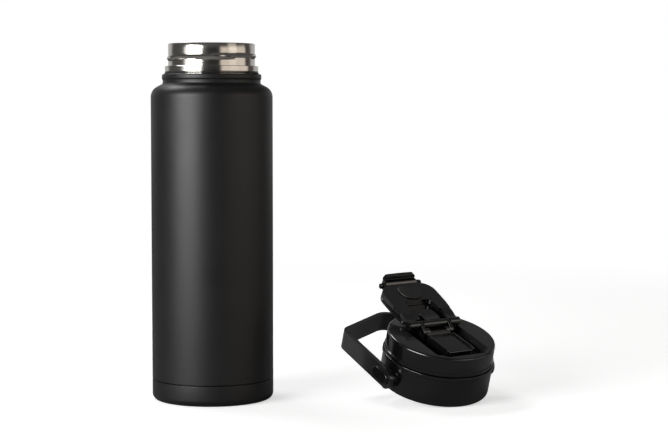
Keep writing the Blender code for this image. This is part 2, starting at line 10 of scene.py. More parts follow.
import bmesh
import bpy
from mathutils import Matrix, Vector

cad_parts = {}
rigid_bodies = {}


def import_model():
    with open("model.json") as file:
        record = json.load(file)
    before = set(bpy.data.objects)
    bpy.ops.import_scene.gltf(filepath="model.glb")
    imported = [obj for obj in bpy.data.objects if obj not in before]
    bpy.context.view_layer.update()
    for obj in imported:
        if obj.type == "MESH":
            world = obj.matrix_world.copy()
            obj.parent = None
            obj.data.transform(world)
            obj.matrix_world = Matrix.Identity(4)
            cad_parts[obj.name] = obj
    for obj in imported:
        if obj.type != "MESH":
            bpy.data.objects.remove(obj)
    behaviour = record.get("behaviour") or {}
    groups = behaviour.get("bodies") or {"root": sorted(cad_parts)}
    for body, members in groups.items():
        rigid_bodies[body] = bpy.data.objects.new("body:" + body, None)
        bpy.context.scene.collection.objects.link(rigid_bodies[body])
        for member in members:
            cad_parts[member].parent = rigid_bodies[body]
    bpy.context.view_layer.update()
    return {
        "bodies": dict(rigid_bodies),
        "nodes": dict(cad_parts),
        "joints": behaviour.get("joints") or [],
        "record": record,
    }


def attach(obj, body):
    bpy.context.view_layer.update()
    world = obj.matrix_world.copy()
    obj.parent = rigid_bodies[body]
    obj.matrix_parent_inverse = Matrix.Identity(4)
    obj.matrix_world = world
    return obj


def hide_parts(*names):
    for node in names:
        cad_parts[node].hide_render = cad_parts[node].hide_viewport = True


MM = 0.001
GAP = 0.3                      # clearance kept between pieces that touch
WHITE = (1.0, 1.0, 1.0, 1.0)

# Bottle
BODY_R = 45.6
BOTTLE_H = 266.9
WALL = 0.8
SEAM_Z = 16.0                  # joint between the shell and the base cup
FOOT_EDGE_R = 5.0
BASE_BORE_R = 43.6
BASE_FLOOR_Z = 3.0             # top of the base cup's floor
SHOULDER_Z = 232.6             # where the shoulder's slope would meet the body wall
SHOULDER_R = 8.7
BEAD_R = 37.2                  # rolled bead at the top of the painted neck
BEAD_TOP_Z = 244.4
BEAD_LOW_Z = 240.9
WAIST_R = 36.6
WAIST_Z = 237.2
LINER_R = 42.4
LINER_FLOOR_Z = 13.0
LINER_NECK_R = 31.3
LINER_NECK_Z = 236.0           # where the liner begins to widen below the neck
LINER_SHOULDER_Z = 229.0
LINER_SHOULDER_R = 6.0
LINER_FOOT_R = 9.0
COLLAR_R = 34.9
COLLAR_LOW_Z = 246.0
COLLAR_TOP_Z = 250.2
NECK_R = 32.4
NECK_BORE_R = 31.7
NECK_LOW_Z = 238.5
GASKET_TOP_Z = 245.7
THREAD_DEPTH = 1.0
THREAD_PITCH = 3.6
THREAD_TURNS = 1.1
THREAD_HALF = 1.5
THREAD_ROWS = 9                # rows of points that the ridge is drawn with
THREAD_RUN_OUT = 1 / 8         # of a turn, at each end
NECK_THREAD_Z = 255.2          # where the neck's thread starts, at the back
INSERT_THREAD_Z = 4.8          # the same in the lid's insert

# Lid skirt, cap and what they hold
SKIRT_R = 41.4
SKIRT_LIP_R = 42.1
SKIRT_BORE_R = 38.2
SKIRT_H = 24.0
SKIRT_EDGE_R = 2.0
FLANGE_BORE_R = 34.5
FLANGE_T = 2.6
INSERT_R = 37.9
INSERT_BORE_R = 33.8
CAP_LOW_Z = 24.7
CAP_TOP_Z = 39.3
CAP_R = 40.6
CAP_FLANGE_R = 41.3
CAP_EDGE_R = 1.6
CEILING_Z = 28.4
CHANNEL_HALF = 20.3            # recess in the cap that the mouthpiece folds into
CHANNEL_FRONT_Y = -34.5
CHANNEL_BACK_Y = 15.6
CHANNEL_FLOOR_Z = 30.6
SHELF_HALF = 23.2
SHELF_FRONT_Y = -30.0
SHELF_Z = 36.2
TUBE_Y = 4.5                   # the drinking tube's axis
TUBE_R = 5.5
TUBE_BORE_R = 3.6
VENT_Y = 25.0
LUG_R = 6.3                    # lugs on the skirt for the handle's pins

# Hinges in the lid's frame: (y, z) of each axis, all of them along X
MOUTH_AXIS = (7.0, 39.5)
COVER_AXIS = (12.0, 43.5)
HANDLE_AXIS = (-3.0, 10.5)
PIN_R = 1.3
PIN_HOLE_R = PIN_R + GAP
EAR_IN, EAR_OUT = 10.8, 13.4
EAR_COVER_R = 3.1              # the ears' rounding about the cover's axis
EAR_MOUTH_R = 3.4

# Mouthpiece
MOUTH_HALF = 10.4
MOUTH_TIP_Y = -26.5
MOUTH_LOW_Z = 33.5
MOUTH_RIM = 1.7
MOUTH_RIM_OUT = 11.9           # the rims stand outside the ears
MOUTH_TOP_Z = 38.9
MOUTH_RIM_Z = 40.1
MOUTH_BARREL_R = 3.1

# Flip cover: (x, s, n), s along its slope away from the pin and n square to it
COVER_SLOPE = 11.0             # degrees, when it rests open
ARM_IN, ARM_OUT = 14.0, 22.4
COVER_HALF = 23.4
COVER_END_S = 48.5
COVER_END_R = 12
COVER_WIDE_S = 22              # where the cover reaches its full width
COVER_WIDE_R = 5
COVER_FACE_N = 2.9
ARM_LOW_N = -0.6
ARM_BEND_S = 14.0              # nearer the pin than this the arms bend down to it
HEAD_LOW_N = -1.6
SHELL_LOW_N = -5.0
WINDOW_HALF = 11.2
WINDOW_S = 26.5
SHELL_S = 8.0                  # where the outer shell begins, clear of the hinge
TAB_HALF = 6.8
TAB_S = 15.6
TAB_TOP_N = 2.3
BARREL_R = 2.9
KNUCKLE_R = 3.2
LATCH_EAR_R = 2.4
SEAL_S = 37.6
SEAL_R = 9.7
SEAL_TOP_N = 4.2
LATCH_AXIS = (51.2, 0.6)       # (s, n)
LATCH_HALF = 14.0
LATCH_HUB_R = 2.2
LATCH_LIP_LOW = 4.1            # the lip's height above the latch's axis
LATCH_TOP = 7.0
LATCH_PIN_R = 1.2
LATCH_PIN_HEAD_R = 2.1

# Handle strap
STRAP_X = 45.9
STRAP_T = 3.2
STRAP_W = 14.6
STRAP_CORNER = (46.0, 64.5)    # (x, distance from the pivots)
STRAP_APEX_Y = 83.0
HANDLE_LIFT = 3.0              # degrees above the lid's own level, as it lies
EYE_R = 7.5
PIVOT_R = 2.4
BUTTON_SHIFT = 5.5             # the pivot caps' middle, along the strap from the pivots
BUTTON_LENGTH, BUTTON_WIDTH = 20.0, 9.0

# How the lid lies: it has tipped forward onto its lip and its drinking tube
LID_X, LID_Y = 166.4, -7.1
LID_YAW, LID_TIP, LID_ROLL = 32.0, 18.5, -2.0
FLOOR_GAP = 0.2

ROUND = 192
ROUND_INNER = 128
ROUND_SMALL = 48
SMOOTH_BELOW = 35              # degrees between faces that are still shaded as one surface
SOFTEN_ABOVE = 50              # degrees between faces whose edge is rounded off

# Width of the rounded-off edges of each piece that has them
EDGES = {
    "base_cup": 0.25, "bottle_shell": 0.2, "cover_frame": 0.7, "cover_shell": 1.0,
    "cover_pin_left": 0.3, "cover_pin_right": 0.3, "handle_strap": 0.8,
    "handle_pivot_cap_left": 0.5, "handle_pivot_cap_right": 0.5, "hinge_bracket": 0.4,
    "latch_clip": 0.3, "latch_pin": 0.4, "lid_cap": 0.45, "lid_skirt": 0.4,
    "mouthpiece": 0.5, "cover_tab": 0.6, "plug_disc": 0.4, "drinking_tube": 0.3,
    "threaded_neck": 0.12,
}

# Studio
# Azimuth of each part of the room, 0 behind the object and 180 or -180 behind the camera
ROOM = (
    (-180, (0.03, 0.03, 0.03)), (-159, (0.03, 0.03, 0.03)), (-155, (1.0, 1.0, 1.0)),
    (-108, (1.0, 1.0, 1.0)), (-104, (0.10, 0.10, 0.10)), (-60, (0.10, 0.10, 0.10)),
    (-46, (0.60, 0.60, 0.60)), (44, (0.60, 0.60, 0.60)), (56, (0.12, 0.10, 0.09)),
    (74, (0.06, 0.05, 0.05)), (78, (1.0, 0.90, 0.80)), (150, (1.0, 0.90, 0.80)),
    (155, (0.03, 0.03, 0.03)), (180, (0.03, 0.03, 0.03)),
)
OVERHEAD = 0.10                # brightness of the ceiling in reflections
CEILING_FADE = (0.15, 0.42)    # upward part of a direction, between the room and the ceiling
PAPER_GREY = 0.85
PAPER_GLOW = 0.60
PAPER_DIM = 0.30               # the paper as everything but the camera sees it
PAPER_FADE = (0.5, 1.3)        # metres out from the bottle, between the paper and white
FLOOR_HALF = 9.0
LENS = 92.5
CAMERA_PLACE = (0.0916, -1.29, 0.2165)
CAMERA_DIP = 3.7               # degrees below the level

MATERIALS = {}
MADE = {}
FRAMES = []


# ---------------------------------------------------------------- finishes

class Nodes:
    """A node tree, with short ways to add and link its nodes."""

    def __init__(self, tree):
        self.tree = tree

    def node(self, kind, values=None, **settings):
        """A new node with these settings and these values on its sockets."""
        node = self.tree.nodes.new(kind)
        for key, value in settings.items():
            setattr(node, key, value)
        for key, value in (values or {}).items():
            node.inputs[key].default_value = value
        return node

    def link(self, source, target):
        self.tree.links.new(source, target)

    def blend(self, factor, one, two):
        """One shader where the factor is 0 and the other where it is 1."""
        mix = self.node("ShaderNodeMixShader")
        self.link(factor, mix.inputs["Fac"])
        self.link(one, mix.inputs[1])
        self.link(two, mix.inputs[2])
        return mix.outputs["Shader"]

    def for_camera(self, reflected, seen):
        """One shader for the camera's own rays and another for all the others."""
        path = self.node("ShaderNodeLightPath")
        return self.blend(path.outputs["Is Camera Ray"], reflected, seen)


class Finish(Nodes):
    """A Principled material whose colour, roughness and surface come from procedural grain."""

    def __init__(self, name, colour, roughness, metallic=0.0):
        made = bpy.data.materials.new(name)
        made.use_nodes = True
        super().__init__(made.node_tree)
        self.shader = self.tree.nodes["Principled BSDF"]
        self.set("Base Color", (*colour, 1.0))
        self.set("Roughness", roughness)
        self.set("Metallic", metallic)
        self.place = self.node("ShaderNodeTexCoord").outputs["Object"]
        MATERIALS[name] = made

    def set(self, socket, value):
        self.shader.inputs[socket].default_value = value

    def noise(self, scale, detail=4.0, stretch=(1.0, 1.0, 1.0), rough=0.6):
        mapping = self.node("ShaderNodeMapping", {"Scale": stretch})
        self.link(self.place, mapping.inputs["Vector"])
        noise = self.node("ShaderNodeTexNoise",
                          {"Scale": scale, "Detail": detail, "Roughness": rough})
        self.link(mapping.outputs["Vector"], noise.inputs["Vector"])
        return noise.outputs["Fac"]

    def spread(self, value, low, high, first=0.3, last=0.7):
        """The value's middle range turned into low to high."""
        span = self.node("ShaderNodeMapRange", {"From Min": first, "From Max": last,
                                                "To Min": low, "To Max": high})
        self.link(value, span.inputs["Value"])
        return span.outputs["Result"]

    def spread_sum(self, one, two, low, high):
        """The sum of two grains, its middle range turned into low to high."""
        total = self.sum(one, two)
        return self.spread(total, low, high, 0.7, 1.3)

    def sum(self, one, two):
        total = self.node("ShaderNodeMath", operation="ADD")
        self.link(one, total.inputs[0])
        self.link(two, total.inputs[1])
        return total.outputs["Value"]

    def mix(self, factor, one, two):
        mix = self.node("ShaderNodeMix", data_type="RGBA")
        self.link(factor, mix.inputs["Factor"])
        mix.inputs[6].default_value = (*one, 1.0)
        mix.inputs[7].default_value = (*two, 1.0)
        return mix.outputs[2]

    def edges(self, low, high):
        """1 on sharp outer edges and 0 elsewhere: the mask of a painted highlight."""
        return self.spread(self.node("ShaderNodeNewGeometry").outputs["Pointiness"],
                           0.0, 1.0, low, high)

    def bump(self, height, strength, distance):
        bump = self.node("ShaderNodeBump", {"Strength": strength, "Distance": distance})
        self.link(height, bump.inputs["Height"])
        self.link(bump.outputs["Normal"], self.shader.inputs["Normal"])

    def vary(self, roughness, colour):
        """Lets grain drive the roughness and the colour."""
        self.link(roughness, self.shader.inputs["Roughness"])
        self.link(colour, self.shader.inputs["Base Color"])


def powder_coat():
    """Matt black powder coat: a fine orange peel, with slightly rubbed and dusty patches."""
    finish = Finish("black_coat", (0.006, 0.006, 0.0065), 0.44)
    fine = finish.noise(2600.0, 3.0)
    cloud = finish.noise(26.0, 5.0)
    speck = finish.noise(900.0, 2.0)
    finish.bump(finish.sum(fine, speck), 0.20, 0.00012)
    finish.vary(finish.spread_sum(fine, cloud, 0.39, 0.48),
                finish.mix(finish.spread(cloud, 0.0, 1.0), (0.0050, 0.0050, 0.0055),
                           (0.0075, 0.0075, 0.0080)))


def moulded_plastic():
    """Glossy black polypropylene with faint flow marks, fine grain and a painted highlight that
    lightens its outer edges.
    """
    finish = Finish("black_plastic", (0.003, 0.003, 0.0035), 0.16)
    grain = finish.noise(1500.0, 3.0)
    cloud = finish.noise(60.0, 6.0)
    smear = finish.noise(140.0, 5.0, (1.0, 0.25, 1.0))
    finish.bump(finish.sum(grain, smear), 0.10, 0.00010)
    # The colour is lighter on sharp outer edges: a painted highlight along them.
    finish.vary(finish.spread_sum(cloud, smear, 0.12, 0.24),
                finish.mix(finish.edges(0.52, 0.60), (0.0028, 0.0028, 0.0030),
                           (0.014, 0.014, 0.014)))
    finish.set("Specular IOR Level", 0.7)
    finish.set("Coat Weight", 0.5)
    finish.set("Coat Roughness", 0.07)


def brushed_steel():
    """Stainless steel brushed round its own axis: fine rings in height, colour and roughness."""
    finish = Finish("steel", (0.60, 0.575, 0.54), 0.24, 1.0)
    lines = finish.noise(60.0, 6.0, (0.6, 0.6, 60.0), 0.75)
    cloud = finish.noise(40.0, 4.0)
    finish.bump(lines, 0.15, 0.00005)
    finish.vary(finish.spread(lines, 0.09, 0.17),
                finish.mix(finish.spread_sum(lines, cloud, 0.0, 1.0),
                           (0.50, 0.475, 0.44), (0.68, 0.65, 0.61)))
    finish.set("Anisotropic", 0.5)


def blackened_steel():
    """The lid's hinge pins: steel with a dark, slightly worn oxide finish."""
    finish = Finish("black_steel", (0.05, 0.048, 0.045), 0.24, 1.0)
    fine = finish.noise(1600.0, 3.0)
    cloud = finish.noise(90.0, 5.0)
    finish.bump(fine, 0.12, 0.00006)
    finish.vary(finish.spread(cloud, 0.18, 0.30),
                finish.mix(finish.spread(cloud, 0.0, 1.0), (0.035, 0.034, 0.033),
                           (0.065, 0.063, 0.060)))


def silicone():
    """Soft black silicone, dull and slightly blotchy."""
    finish = Finish("silicone", (0.014, 0.014, 0.014), 0.5)
    fine = finish.noise(1800.0, 3.0)
    cloud = finish.noise(70.0, 5.0)
    finish.bump(fine, 0.15, 0.00008)
    finish.vary(finish.spread(cloud, 0.38, 0.56),
                finish.mix(finish.spread(cloud, 0.0, 1.0), (0.011, 0.011, 0.011),
                           (0.018, 0.018, 0.017)))


def frosted_plastic():
    """The drinking tube's milky plastic."""
    finish = Finish("clear_plastic", (0.55, 0.56, 0.57), 0.35)
    fine = finish.noise(1400.0, 3.0)
    cloud = finish.noise(80.0, 4.0)
    finish.bump(fine, 0.12, 0.00008)
    finish.vary(finish.spread(cloud, 0.28, 0.42),
                finish.mix(finish.spread(cloud, 0.0, 1.0), (0.50, 0.51, 0.52),
                           (0.60, 0.61, 0.61)))
    finish.set("Subsurface Weight", 0.25)
    finish.set("Subsurface Scale", 0.002)


# ---------------------------------------------------------------- helpers

def empty(name, parent, place, turn=(0.0, 0.0, 0.0)):
    """A frame at a place in millimetres, turned in degrees about its Y, then X, then Z."""
    frame = bpy.data.objects.new(name, None)
    bpy.context.scene.collection.objects.link(frame)
    FRAMES.append(frame)
    frame.parent = parent
    frame.location = Vector(place) * MM
    frame.rotation_mode = "YXZ"
    frame.rotation_euler = [math.radians(a) for a in turn]
    return frame


def mesh_object(name, made, key, parent):
    """Links a bmesh whose points are in millimetres as an object in metres, facing out."""
    bmesh.ops.scale(made, vec=(MM, MM, MM), verts=made.verts)
    bmesh.ops.recalc_face_normals(made, faces=made.faces)
    mesh = bpy.data.meshes.new(name)
    made.to_mesh(mesh)
    made.free()
    mesh.shade_smooth()
    mesh.set_sharp_from_angle(angle=math.radians(SMOOTH_BELOW))
    thing = bpy.data.objects.new(name, mesh)
    mesh.materials.append(MATERIALS[key])
    bpy.context.scene.collection.objects.link(thing)
    thing.parent = parent
    MADE[name] = thing
    return thing


def rounded(corners, step=9):
    """A closed outline from (a, b, radius) corners, each radius turned into an arc."""
    points = []
    count = len(corners)
    for i, (a, b, radius) in enumerate(corners):
        here = Vector((a, b))
        if radius <= 0:
            points.append((a, b))
            continue
        back = (Vector(corners[i - 1][:2]) - here).normalized()
        ahead = (Vector(corners[(i + 1) % count][:2]) - here).normalized()
        half = back.angle(ahead) / 2
        centre = here + (back + ahead).normalized() * (radius / math.sin(half))
        start = here + back * (radius / math.tan(half)) - centre
        end = here + ahead * (radius / math.tan(half)) - centre
        sweep = start.angle_signed(end)
        pieces = max(2 if radius > 0.8 else 1, round(abs(math.degrees(sweep)) / step))
        for k in range(pieces + 1):
            turn = -sweep * k / pieces
            cos, sin = math.cos(turn), math.sin(turn)
            spoke = Vector((start.x * cos - start.y * sin, start.x * sin + start.y * cos))
            points.append(tuple(centre + spoke))
    return points


def arc(centre, radius, first, last, pieces):
    """Points along an arc, from one angle to another in degrees."""
    found = []
    for k in range(pieces + 1):
        angle = math.radians(first + (last - first) * k / pieces)
        found.append((centre[0] + radius * math.cos(angle), centre[1] + radius * math.sin(angle)))
    return found


def lathe(name, profile, key, parent=None, around=ROUND, swell=None):
    """Turns a closed (radius, height) profile about Z. swell(angle, r, z) gives a new radius."""
    made = bmesh.new()
    rings = []
    for r, z in profile:
        if r < 1e-6:
            rings.append([made.verts.new((0, 0, z))])
            continue
        ring = []
        for k in range(around):
            angle = 2 * math.pi * k / around
            radius = swell(angle, r, z) if swell else r
            ring.append(made.verts.new((radius * math.cos(angle), radius * math.sin(angle), z)))
        rings.append(ring)
    for one, two in zip(rings, rings[1:] + rings[:1]):
        if len(one) == 1 and len(two) == 1:
            continue
        for k in range(around):
            after = (k + 1) % around
            corners = [one[k % len(one)], one[after % len(one)]]
            corners += [two[after % len(two)], two[k % len(two)]]
            made.faces.new(list(dict.fromkeys(corners)))
    return mesh_object(name, made, key, parent)


def prism(name, outline, low, high, key, parent, along="z"):
    """A closed outline made solid from low to high along one axis, drawn on the other two."""
    def place(a, b, c):
        return {"x": (c, a, b), "y": (a, c, b), "z": (a, b, c)}[along]

    made = bmesh.new()
    ends = [[made.verts.new(place(a, b, c)) for a, b in outline] for c in (low, high)]
    made.faces.new(ends[0])
    made.faces.new(ends[1])
    for k in range(len(outline)):
        after = (k + 1) % len(outline)
        made.faces.new((ends[0][k], ends[0][after], ends[1][after], ends[1][k]))
    return mesh_object(name, made, key, parent)


def block(name, x, y, z, key, parent):
    """A box between the two values given on each axis."""
    outline = [(x[0], y[0]), (x[1], y[0]), (x[1], y[1]), (x[0], y[1])]
    return prism(name, outline, z[0], z[1], key, parent)


def rod(name, centre, radius, low, high, key, parent, along="x", around=ROUND_SMALL):
    """A round bar along x at (y, z), or along z at (x, y)."""
    outline = arc(centre, radius, 0, 360 * (around - 1) / around, around - 1)
    return prism(name, outline, low, high, key, parent, along)


def stadium(centre, length, width):
    """A long round-ended outline, its length along the first axis."""
    a, b = centre
    shift = (length - width) / 2
    right = arc((a + shift, b), width / 2, -90, 90, 8)
    left = arc((a - shift, b), width / 2, 90, 270, 8)
    return right + left


def combine(thing, other, operation):
    """Joins a helper solid to a piece or takes it away; the helper itself stays hidden."""
    change = thing.modifiers.new(other.name, "BOOLEAN")
    change.operation = operation
    change.object = other
    change.solver = "EXACT"
    other.hide_render = True
    other.display_type = "WIRE"


def cut(thing, other):
    combine(thing, other, "DIFFERENCE")


def add(thing, other):
    combine(thing, other, "UNION")


def soften(thing, width):
    """Rounds off the sharp edges of a piece, after all its cuts."""
    bevel = thing.modifiers.new("edges", "BEVEL")
    bevel.width = width * MM
    bevel.segments = 3
    bevel.limit_method = "ANGLE"
    bevel.angle_limit = math.radians(SOFTEN_ABOVE)
    bevel.harden_normals = True
    bevel.use_clamp_overlap = True


def both_sides(values):
    """A span on the right and its mirror image on the left, with a name for each."""
    low, high = values
    return (("right", low, high), ("left", -high, -low))


def thread(start_z, sign):
    """A right-hand ridge of THREAD_DEPTH, faded at its ends; sign -1 makes it stand inwards."""
    def swell(angle, r, z):
        best = 0.0
        for lap in range(int(THREAD_TURNS) + 1):
            turn = (angle / (2 * math.pi) + 0.75) % 1.0 + lap
            if turn > THREAD_TURNS:
                continue
            fade = min(1.0, min(turn, THREAD_TURNS - turn) / THREAD_RUN_OUT)
            off = abs(z - (start_z + THREAD_PITCH * turn)) / THREAD_HALF
            best = max(best, fade * max(0.0, 1.0 - off ** 2))
        return r + sign * THREAD_DEPTH * best
    return swell


# ---------------------------------------------------------------- bottle

def bottle():
    """The standing bottle: two painted shells outside, steel and a getter within."""
    shell = rounded([
        (BEAD_R, BEAD_TOP_Z, 1.3), (BEAD_R, BEAD_LOW_Z, 0.9), (WAIST_R, BEAD_LOW_Z - 0.9, 0.5),
        (WAIST_R, WAIST_Z, 1.6), (BODY_R, SHOULDER_Z, SHOULDER_R), (BODY_R, SEAM_Z + GAP, 0),
        (BODY_R - WALL, SEAM_Z + GAP, 0), (BODY_R - WALL, SHOULDER_Z - 1, SHOULDER_R),
        (WAIST_R - WALL, WAIST_Z - 1, 1.6), (WAIST_R - WALL, BEAD_TOP_Z, 0),
    ])
    lathe("bottle_shell", shell, "black_coat")
    base = rounded([
        (BODY_R, SEAM_Z - GAP, 0.6), (BODY_R, 0, FOOT_EDGE_R), (0, 0, 0),
        (0, BASE_FLOOR_Z, 0), (BASE_BORE_R, BASE_FLOOR_Z, 3.5), (BASE_BORE_R, SEAM_Z - GAP, 0),
    ])
    lathe("base_cup", base, "black_coat")
    flange, step = BODY_R - WALL - GAP, BODY_R - 2.4
    end_plate = [(flange, 20.0), (flange, 16.5), (step, 15.8), (step, 9.5), (12, 8.0), (0, 8.0),
                 (0, 8.8), (12, 8.8), (step - WALL, 10.3), (step - WALL, 16.4),
                 (flange - WALL, 17.0), (flange - WALL, 20.0)]
    lathe("outer_end_plate", end_plate, "steel", around=ROUND_INNER)
    lathe("vacuum_getter", [(6, 12.4), (6, 9.2), (0, 9.2), (0, 12.4)], "steel", around=ROUND_SMALL)
    liner = rounded([
        (LINER_NECK_R, BOTTLE_H - 1.0, 0), (LINER_NECK_R, LINER_NECK_Z, 0),
        (LINER_R, LINER_SHOULDER_Z, LINER_SHOULDER_R), (LINER_R, LINER_FLOOR_Z, LINER_FOOT_R),
        (0, LINER_FLOOR_Z, 0), (0, LINER_FLOOR_Z + WALL, 0),
        (LINER_R - WALL, LINER_FLOOR_Z + WALL, LINER_FOOT_R - WALL),
        (LINER_R - WALL, LINER_SHOULDER_Z - 0.4, LINER_SHOULDER_R - WALL),
        (LINER_NECK_R - WALL, LINER_NECK_Z - 0.4, 0), (LINER_NECK_R - WALL, BOTTLE_H - 1.0, 0),
    ])
    lathe("inner_liner", liner, "steel", around=ROUND_INNER)
    threaded_neck()
    inner, outer = NECK_R + 0.4, WAIST_R - 1.3
    gasket = rounded([(outer, GASKET_TOP_Z, 0.5), (outer, BEAD_TOP_Z + GAP, 0.5),
                      (inner, BEAD_TOP_Z + GAP, 0), (inner, GASKET_TOP_Z, 0)])
    lathe("neck_gasket", gasket, "silicone")


def threaded_neck():
    """The steel neck that the lid screws onto, with its collar and its helical thread."""
    low = NECK_THREAD_Z - THREAD_HALF - 0.4
    top = NECK_THREAD_Z + THREAD_PITCH * THREAD_TURNS + THREAD_HALF + 0.4
    wall = [(NECK_R, top - (top - low) * k / THREAD_ROWS) for k in range(THREAD_ROWS + 1)]
    lip = [(NECK_R - 0.3, BOTTLE_H), (NECK_R, BOTTLE_H - 0.5)]
    collar = [(COLLAR_R - 0.3, COLLAR_TOP_Z), (COLLAR_R, COLLAR_TOP_Z - 0.3),
              (COLLAR_R, COLLAR_LOW_Z + 0.3), (COLLAR_R - 0.3, COLLAR_LOW_Z)]
    root = [(NECK_R, COLLAR_LOW_Z), (NECK_R, NECK_LOW_Z), (NECK_BORE_R, NECK_LOW_Z),
            (NECK_BORE_R, BOTTLE_H)]
    profile = lip + wall + [(NECK_R, COLLAR_TOP_Z)] + collar + root
    swell = thread(NECK_THREAD_Z, 1.0)

    def outside_only(angle, r, z):
        return swell(angle, r, z) if abs(r - NECK_R) < 0.01 and low < z < top else r

    lathe("threaded_neck", profile, "steel", swell=outside_only)


# ---------------------------------------------------------------- lid body

def lid_frame():
    """Stands the lid on its skirt's front edge, just clear of the floor."""
    tip = math.acos(math.cos(math.radians(LID_TIP)) * math.cos(math.radians(LID_ROLL)))
    edge = SKIRT_R - SKIRT_EDGE_R
    height = edge * math.sin(tip) - SKIRT_EDGE_R * math.cos(tip) + SKIRT_EDGE_R + FLOOR_GAP
    return empty("lid_frame", None, (LID_X, LID_Y, height), (LID_TIP, LID_ROLL, LID_YAW)), height


def tube_reach(height):
    """How far the drinking tube stands out below the skirt, so that it too meets the floor."""
    rise = TUBE_Y * math.sin(math.radians(LID_TIP))
    upright = math.cos(math.radians(LID_TIP)) * math.cos(math.radians(LID_ROLL))
    dip = TUBE_R * math.sin(math.acos(upright))
    return (height + rise - dip - FLOOR_GAP) / upright


def skirt(lid):
    """The lid's screw skirt, with a lug and a pin on each side for the handle."""
    profile = rounded([
        (SKIRT_LIP_R, SKIRT_H, 0.4), (SKIRT_LIP_R, SKIRT_H - 2.2, 0), (SKIRT_R, SKIRT_H - 3, 0),
        (SKIRT_R, 0, SKIRT_EDGE_R), (SKIRT_BORE_R, 0, 0.6), (SKIRT_BORE_R, SKIRT_H - FLANGE_T, 0),
        (FLANGE_BORE_R, SKIRT_H - FLANGE_T, 0), (FLANGE_BORE_R, SKIRT_H, 0),
    ])
    made = lathe("lid_skirt", profile, "black_plastic", lid)
    for side, low, high in both_sides((40.2, STRAP_X - STRAP_T / 2 - 0.4)):
        add(made, rod("lug_" + side, HANDLE_AXIS, LUG_R, low, high, "black_plastic", lid))
    for side, low, high in both_sides((39.6, 45.0)):
        cut(made, rod("lug_hole_" + side, HANDLE_AXIS, PIVOT_R + GAP, low, high, "steel", lid))
    for side, low, high in both_sides((40.0, 46.0)):
        rod("handle_pivot_pin_" + side, HANDLE_AXIS, PIVOT_R, low, high, "steel", lid)


def inside_the_skirt(lid, height):
    """The hidden pieces: thread, plug, seals, drinking tube and vent valve."""
    low, high = 2.0, 15.0
    bore = [(INSERT_BORE_R, low + (high - low) * k / THREAD_ROWS) for k in range(THREAD_ROWS + 1)]
    profile = [(INSERT_R, 1.0), (INSERT_BORE_R + 0.8, 1.0)] + bore
    profile += [(INSERT_BORE_R, SKIRT_H - FLANGE_T - GAP), (INSERT_R, SKIRT_H - FLANGE_T - GAP)]
    swell = thread(INSERT_THREAD_Z, -1.0)

    def bore_only(angle, r, z):
        return swell(angle, r, z) if abs(r - INSERT_BORE_R) < 0.01 and z < high + 0.1 else r

    lathe("thread_insert", profile, "black_plastic", lid, ROUND_INNER, bore_only)
    plug = lathe("plug_disc", [(FLANGE_BORE_R - GAP, SKIRT_H), (FLANGE_BORE_R - GAP, 21.8),
                               (INSERT_BORE_R - 0.6, 21.2), (INSERT_BORE_R - 0.6, 19.6),
                               (27.0, 19.6), (27.0, 17.6), (0, 17.6), (0, SKIRT_H)],
                 "black_plastic", lid, ROUND_INNER)
    cut(plug, rod("tube_hole", (0, TUBE_Y), TUBE_R + GAP, 10, 30, "steel", lid, "z"))
    ring = rounded([(33.3, 19.3, 0.7), (33.3, 17.4, 0.7), (28.0, 17.4, 0.7), (28.0, 19.3, 0.7)])
    lathe("neck_seal", ring, "silicone", lid, ROUND_INNER)
    tube_frame = empty("tube_frame", lid, (0, TUBE_Y, 0))
    reach = tube_reach(height)
    tube = [(TUBE_R, -reach), (TUBE_BORE_R, -reach), (TUBE_BORE_R, 26.0), (8.0, 26.0),
            (8.0, SKIRT_H + GAP), (TUBE_R, SKIRT_H + GAP)]
    lathe("drinking_tube", tube, "clear_plastic", tube_frame, ROUND_SMALL)
    seat = [(4.4, 33.1), (4.4, 26.3), (2.6, 26.3), (2.6, 33.1)]
    lathe("mouthpiece_seat", seat, "silicone", tube_frame, ROUND_SMALL)
    vent_frame = empty("vent_frame", lid, (0, VENT_Y, 0))
    valve = [(0, 28.1), (4.0, 28.1), (4.0, 27.2), (1.2, 25.2), (0, 25.2)]
    lathe("vent_valve", valve, "silicone", vent_frame, ROUND_SMALL)


def cap(lid):
    """The lid's upper part, with a recess for the mouthpiece and a shelf round it."""
    profile = rounded([
        (0, CAP_TOP_Z, 0), (CAP_R, CAP_TOP_Z, CAP_EDGE_R), (CAP_R, CAP_LOW_Z + 2.6, 0),
        (CAP_FLANGE_R, CAP_LOW_Z + 2.0, 0), (CAP_FLANGE_R, CAP_LOW_Z, 0.3),
        (SKIRT_BORE_R, CAP_LOW_Z, 0), (SKIRT_BORE_R, CEILING_Z, 0), (0, CEILING_Z, 0),
    ])
    made = lathe("lid_cap", profile, "black_plastic", lid)
    channel = rounded([(CHANNEL_HALF, CHANNEL_FRONT_Y, 7), (CHANNEL_HALF, CHANNEL_BACK_Y, 2),
                       (-CHANNEL_HALF, CHANNEL_BACK_Y, 2), (-CHANNEL_HALF, CHANNEL_FRONT_Y, 7)])
    cut(made, prism("channel", channel, CHANNEL_FLOOR_Z, 50, "steel", lid))
    shelf = rounded([(SHELF_HALF, SHELF_FRONT_Y, 2.5), (SHELF_HALF, CHANNEL_BACK_Y, 2),
                     (-SHELF_HALF, CHANNEL_BACK_Y, 2), (-SHELF_HALF, SHELF_FRONT_Y, 2.5)])
    cut(made, prism("shelf", shelf, SHELF_Z, 50, "steel", lid))
    cut(made, rod("seat_hole", (0, TUBE_Y), 4.7, 20, 33, "steel", lid, "z"))
    cut(made, rod("vent_hole", (0, VENT_Y), 1.5, 20, 50, "steel", lid, "z", 12))


